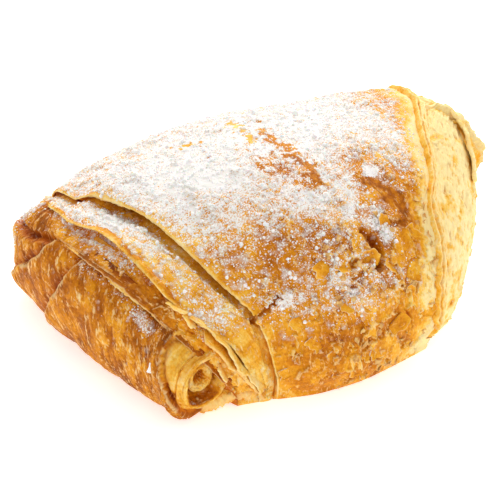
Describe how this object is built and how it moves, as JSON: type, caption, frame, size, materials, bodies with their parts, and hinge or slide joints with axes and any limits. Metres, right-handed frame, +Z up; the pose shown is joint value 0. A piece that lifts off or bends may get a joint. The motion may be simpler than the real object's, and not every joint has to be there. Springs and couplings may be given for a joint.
{
  "type": "turnover pastry",
  "caption": "Baked turnover of folded laminated dough: a plump wrapped loaf with overlapping leaf edges, a rolled end and a sealed seam, resting on its flat base.",
  "frame": {"origin": "middle of the footprint, on the surface the pastry rests on", "axes": "+X along the pastry from its folded, rolled end to its sealed end, -Y towards its near side, +Z up"},
  "size_m": [0.1414, 0.1044, 0.0524],
  "materials": {
    "crust": "golden egg-washed laminated dough, blistered and flaky, browned on its edges and paler in its folds, dusted on top with icing sugar"
  },
  "bodies": {
    "root": {"pastry": "crust"}
  },
  "joints": []
}
